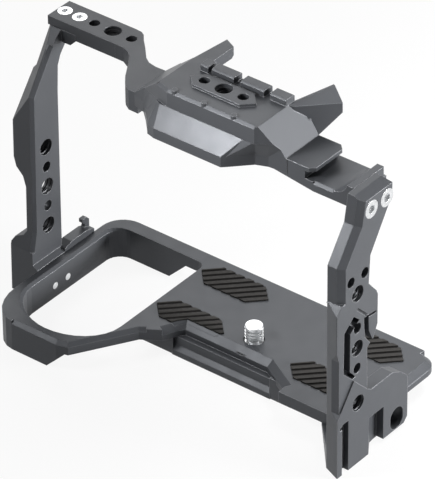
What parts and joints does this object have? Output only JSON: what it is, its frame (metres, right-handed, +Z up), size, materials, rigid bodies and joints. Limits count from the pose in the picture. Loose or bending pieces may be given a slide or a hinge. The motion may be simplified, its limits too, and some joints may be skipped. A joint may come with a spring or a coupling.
{
  "type": "camera cage",
  "caption": "Machined frame that goes round a camera, with a grip loop, dovetail feet, accessory holes and a captive camera screw in its base.",
  "frame": {"origin": "camera screw's axis in the top plane of the base plate", "axes": "+X from the grip side to the ports side, +Y from the lens side to the screen side, +Z up along the camera screw"},
  "size_m": [0.1543, 0.0718, 0.1181],
  "materials": {
    "anodised": "satin anodised aluminium",
    "steel": "bright nickel plated",
    "spring_steel": "phosphated",
    "rubber": "matte ribbed"
  },
  "bodies": {
    "cage": {"base_plate": "anodised", "top_plate": "anodised", "grip_upright": "anodised", "ports_upright": "anodised", "retaining_ring": "spring_steel", "bar_screws": "steel", "side_screws": "steel", "loop_screws": "steel", "flange_screws": "steel", "pad_back_left": "rubber", "pad_front_left": "rubber", "pad_back_right": "rubber", "pad_front_right": "rubber", "foot_pads_front": "rubber", "foot_pads_back": "rubber"},
    "screw_washer": {"slip_washer": "steel"},
    "camera_screw": {"camera_screw": "steel"}
  },
  "joints": [
    {"name": "camera_screw_drop", "type": "slide", "parent": "cage", "child": "screw_washer", "axis": [0, 0, 1], "range_m": [-0.0048, 0]},
    {"name": "camera_screw_turn", "type": "hinge", "parent": "screw_washer", "child": "camera_screw", "pos_m": [0, 0, 0], "axis": [0, 0, 1], "continuous": true}
  ]
}
